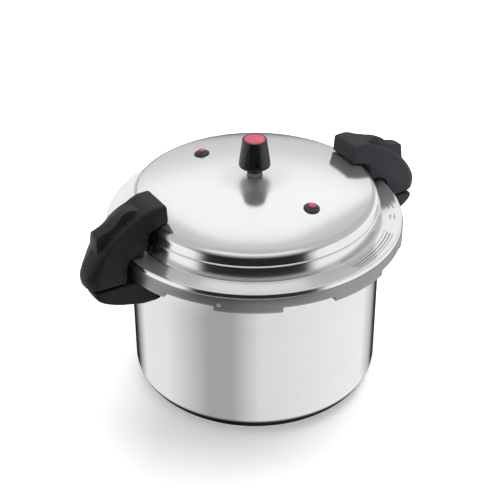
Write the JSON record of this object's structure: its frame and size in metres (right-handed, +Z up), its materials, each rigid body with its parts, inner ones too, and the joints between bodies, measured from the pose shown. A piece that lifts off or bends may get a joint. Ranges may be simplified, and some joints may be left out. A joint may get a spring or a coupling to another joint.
{
  "type": "pressure canner",
  "caption": "Round aluminium pressure canner: a pot with a bayonet lid, black side handles, a weighted regulator, safety valves and a jar rack inside.",
  "frame": {"origin": "centre of the pot's flat base, on the surface it stands on", "axes": "+Z up along the pot's axis, X along the line of the two handles, -Y towards the side with the alignment mark"},
  "size_m": [0.396, 0.3054, 0.2755],
  "materials": {
    "polished_aluminium": "polished",
    "polished_lid": "polished dome, satin skirt",
    "satin_aluminium": "satin",
    "steel": "plated",
    "phenolic": "moulded phenolic, satin",
    "weight_black": "moulded phenolic, half gloss",
    "red_plastic": "moulded",
    "black_rubber": "moulded",
    "silicone_seal": "moulded silicone",
    "black_steel": "blackened"
  },
  "bodies": {
    "pot": {"pot_body": "polished_aluminium", "pot_handle_right": "phenolic", "pot_bracket_right": "steel", "pot_handle_screw_right": "steel", "pot_handle_left": "phenolic", "pot_bracket_left": "steel", "pot_handle_screw_left": "steel", "pot_rivet_right_1": "satin_aluminium", "pot_rivet_right_2": "satin_aluminium", "pot_rivet_left_1": "satin_aluminium", "pot_rivet_left_2": "satin_aluminium"},
    "rack": {"jar_rack": "satin_aluminium"},
    "seal": {"gasket": "silicone_seal"},
    "lid": {"lid_shell": "polished_lid", "lid_handle_right": "phenolic", "lid_strap_right": "black_steel", "lid_handle_screw_right": "steel", "lid_handle_left": "phenolic", "lid_strap_left": "black_steel", "lid_handle_screw_left": "steel", "lid_rivet_right_1": "satin_aluminium", "lid_rivet_right_2": "satin_aluminium", "lid_rivet_left_1": "satin_aluminium", "lid_rivet_left_2": "satin_aluminium", "vent_pipe": "steel", "vent_seal_washer": "silicone_seal", "vent_nut": "steel", "valve_seat_1": "black_rubber", "valve_seat_2": "black_rubber"},
    "weight": {"weight_body": "weight_black", "weight_core": "steel", "weight_cap": "red_plastic"},
    "valve_1": {"valve_pin_1": "red_plastic", "valve_clip_1": "steel"},
    "valve_2": {"valve_pin_2": "red_plastic", "valve_clip_2": "steel"}
  },
  "joints": [
    {"name": "rack_lift", "type": "slide", "parent": "pot", "child": "rack", "axis": [0, 0, 1], "range_m": [0, 0.12]},
    {"name": "lid_lift", "type": "slide", "parent": "pot", "child": "seal", "axis": [0, 0, 1], "range_m": [0, 0.12]},
    {"name": "lid_turn", "type": "hinge", "parent": "seal", "child": "lid", "pos_m": [0, 0, 0.18], "axis": [0, 0, 1], "range_deg": [0, 22.5]},
    {"name": "weight_lift", "type": "slide", "parent": "lid", "child": "weight", "axis": [0, 0, 1], "range_m": [0, 0.03]},
    {"name": "valve_1_rise", "type": "slide", "parent": "lid", "child": "valve_1", "axis": [0.0349, -0.1513, 0.9879], "range_m": [0, 0.004]},
    {"name": "valve_2_rise", "type": "slide", "parent": "lid", "child": "valve_2", "axis": [-0.0349, 0.1513, 0.9879], "range_m": [0, 0.004]}
  ]
}
